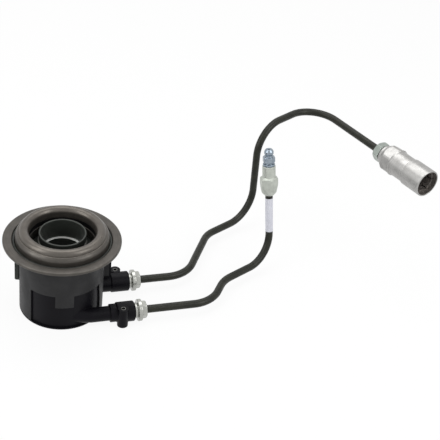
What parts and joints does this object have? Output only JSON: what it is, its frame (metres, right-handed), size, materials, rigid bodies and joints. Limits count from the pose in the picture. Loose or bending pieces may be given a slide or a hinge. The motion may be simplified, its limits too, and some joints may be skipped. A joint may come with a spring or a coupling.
{
  "type": "clutch release bearing",
  "caption": "Hydraulic clutch release bearing: concentric slave cylinder with flanged thrust bearing, feed line ending in a quick coupler and bleed line ending in a bleed screw.",
  "frame": {"origin": "on the axis of the guide bore, at the face that sits on the gearbox", "axes": "+Z along the guide bore towards the clutch, +X along both hydraulic ports, away from the cylinder"},
  "size_m": [0.3639, 0.1686, 0.1125],
  "materials": {
    "housing_plastic": "moulded black plastic, semi-gloss",
    "sleeve_plastic": "moulded dark grey plastic, matt",
    "black_plastic": "moulded black plastic, matt",
    "bearing_steel": "pressed and hardened steel, brown-grey satin",
    "ball_steel": "polished balls",
    "guide_steel": "dark coated steel tube",
    "spring_steel": "oiled spring wire",
    "insert_brass": "turned brass",
    "turned_aluminium": "turned, clear",
    "coupler_aluminium": "turned, clear anodised",
    "coated_tube": "dark olive coated steel tube",
    "zinc_plate": "zinc plated steel",
    "label_film": "white film, bare",
    "seal_rubber": "black rubber"
  },
  "bodies": {
    "cylinder": {"housing": "housing_plastic", "base_inserts": "insert_brass", "guide_sleeve": "guide_steel", "sleeve_o_ring": "seal_rubber", "stop_ring": "spring_steel", "feed_roll_pin": "spring_steel", "bleed_roll_pin": "spring_steel", "feed_fitting": "turned_aluminium", "bleed_fitting": "turned_aluminium", "feed_fitting_seal": "seal_rubber", "bleed_fitting_seal": "seal_rubber", "feed_line": "coated_tube", "bleed_line": "coated_tube", "label_sleeve": "label_film", "bleeder_adapter": "zinc_plate", "coupler_nut": "coupler_aluminium", "coupler_body": "coupler_aluminium", "coupler_sleeve": "coupler_aluminium", "coupler_retainer": "black_plastic", "coupler_seal": "seal_rubber", "coupler_valve_seat": "insert_brass", "preload_spring": "spring_steel", "coupler_valve_spring": "spring_steel"},
    "bearing_slide": {"piston": "black_plastic", "seal_support_ring": "black_plastic", "piston_seal": "seal_rubber", "bearing_carrier": "black_plastic", "spring_washer": "spring_steel", "dust_sleeve": "sleeve_plastic", "centering_spring": "spring_steel", "bearing_cup": "bearing_steel", "inner_race": "bearing_steel", "groove_seal": "seal_rubber", "inner_seal": "seal_rubber"},
    "contact": {"contact_ring": "bearing_steel"},
    "cage": {"ball_cage": "black_plastic", "balls": "ball_steel"},
    "bleed_screw": {"bleed_screw": "zinc_plate"},
    "coupler_valve": {"coupler_valve": "insert_brass"}
  },
  "joints": [
    {"name": "release_slide", "type": "slide", "parent": "cylinder", "child": "bearing_slide", "axis": [0, 0, 1], "range_m": [0, 0.018], "deforming": ["preload_spring"]},
    {"name": "contact_spin", "type": "hinge", "parent": "bearing_slide", "child": "contact", "pos_m": [0, 0, 0.067], "axis": [0, 0, 1], "continuous": true},
    {"name": "cage_spin", "type": "hinge", "parent": "bearing_slide", "child": "cage", "pos_m": [0, 0, 0.062], "axis": [0, 0, 1], "continuous": true},
    {"name": "bleed_screw_turn", "type": "hinge", "parent": "cylinder", "child": "bleed_screw", "pos_m": [0.18211, 0.03573, 0.08757], "axis": [-0.0849, 0.1678, 0.9822], "range_deg": [0, 180]},
    {"name": "coupler_valve_push", "type": "slide", "parent": "cylinder", "child": "coupler_valve", "axis": [-0.3107, 0.9505, 0], "range_m": [0, 0.004], "stiffness_N_per_m": 800, "springref_m": -0.005, "deforming": ["coupler_valve_spring"]}
  ],
  "couplings": [
    {"joint": "cage_spin", "follows": "contact_spin", "ratio": 0.535}
  ]
}
